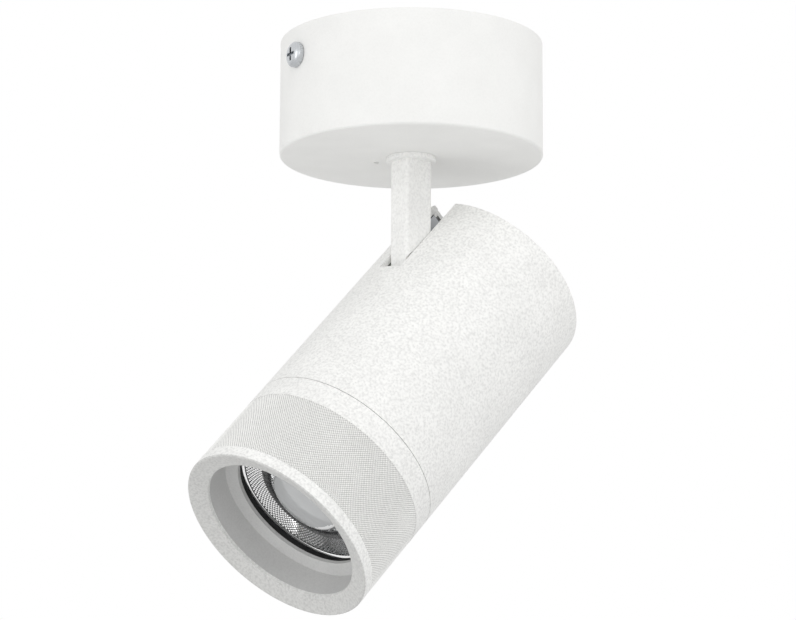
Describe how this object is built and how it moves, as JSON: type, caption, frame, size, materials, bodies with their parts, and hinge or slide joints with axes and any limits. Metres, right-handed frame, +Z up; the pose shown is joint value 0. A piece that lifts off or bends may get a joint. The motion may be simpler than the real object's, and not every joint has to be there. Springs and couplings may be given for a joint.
{
  "type": "surface-mounted spotlight",
  "caption": "White ceiling spotlight: round canopy, flat-sided swivel stem, cylindrical head that tilts in a rear slot, and a knurled ring that slides the lens to focus.",
  "frame": {"origin": "centre of the canopy's rim on the ceiling, which is also the centre of the plate's two screw slots", "axes": "+Z up into the ceiling; the head points to -Y and 46.5 degrees below the horizontal; the tilt hinge lies along X"},
  "size_m": [0.0776, 0.1218, 0.1697],
  "materials": {
    "white_aluminium": "fine-textured white powder coat",
    "white_steel": "fine-textured white powder coat",
    "bare_aluminium": "turned, bare",
    "zinc_steel": "bright zinc plate",
    "brass": "turned",
    "white_plastic": "moulded",
    "nylon": "moulded",
    "black_plastic": "moulded, satin",
    "black_rubber": "moulded",
    "board_green": "solder mask",
    "grey_pad": "soft pad",
    "ceramic_white": "glazed ceramic board",
    "phosphor": "silicone over phosphor",
    "clear_acrylic": "polished, clear"
  },
  "bodies": {
    "canopy": {"canopy_cup": "white_aluminium", "mounting_plate": "zinc_steel", "canopy_side_screws": "zinc_steel", "cable_grommet": "black_rubber", "driver_case": "white_plastic", "driver_cover": "white_plastic", "driver_screws": "zinc_steel", "driver_board": "board_green", "driver_parts": "black_plastic", "terminal_block": "white_plastic", "terminal_screws": "zinc_steel", "earth_stud": "brass", "earth_nut": "brass", "swivel_bush": "nylon", "stop_pin": "zinc_steel"},
    "stem": {"stem": "white_steel", "stop_washer": "zinc_steel", "spring_washer": "zinc_steel", "lock_nut": "zinc_steel"},
    "head": {"head_housing": "white_aluminium", "rear_cap": "white_aluminium", "cap_screws": "zinc_steel", "heat_sink": "bare_aluminium", "hinge_screw": "zinc_steel", "hinge_spring": "zinc_steel", "hinge_washers": "nylon", "thermal_pad": "grey_pad", "led_board": "ceramic_white", "led_phosphor": "phosphor", "led_holder": "white_plastic", "holder_screws": "zinc_steel", "guide_sleeve": "black_plastic", "sleeve_screws": "zinc_steel", "glide_washer": "nylon", "retaining_clip": "zinc_steel"},
    "focus_ring": {"focus_ring": "white_aluminium", "glare_baffle": "white_aluminium"},
    "lens": {"lens_carrier": "black_plastic", "cam_pins": "brass", "lens": "clear_acrylic", "lens_retainer": "black_plastic"}
  },
  "joints": [
    {"name": "swivel", "type": "hinge", "parent": "canopy", "child": "stem", "pos_m": [0, 0, -0.0342], "axis": [0, 0, 1], "range_deg": [-165, 165]},
    {"name": "tilt", "type": "hinge", "parent": "stem", "child": "head", "pos_m": [0, 0, -0.0685], "axis": [1, 0, 0], "range_deg": [-46.5, 43.5]},
    {"name": "focus_turn", "type": "hinge", "parent": "head", "child": "focus_ring", "pos_m": [-0.0044, -0.02158, -0.12515], "axis": [0, -0.6884, -0.7254], "range_deg": [0, 100]},
    {"name": "lens_slide", "type": "slide", "parent": "head", "child": "lens", "axis": [0, -0.6884, -0.7254], "range_m": [-0.008, 0]}
  ],
  "couplings": [
    {"joint": "lens_slide", "follows": "focus_turn", "m_per_rad": -0.0045836}
  ]
}
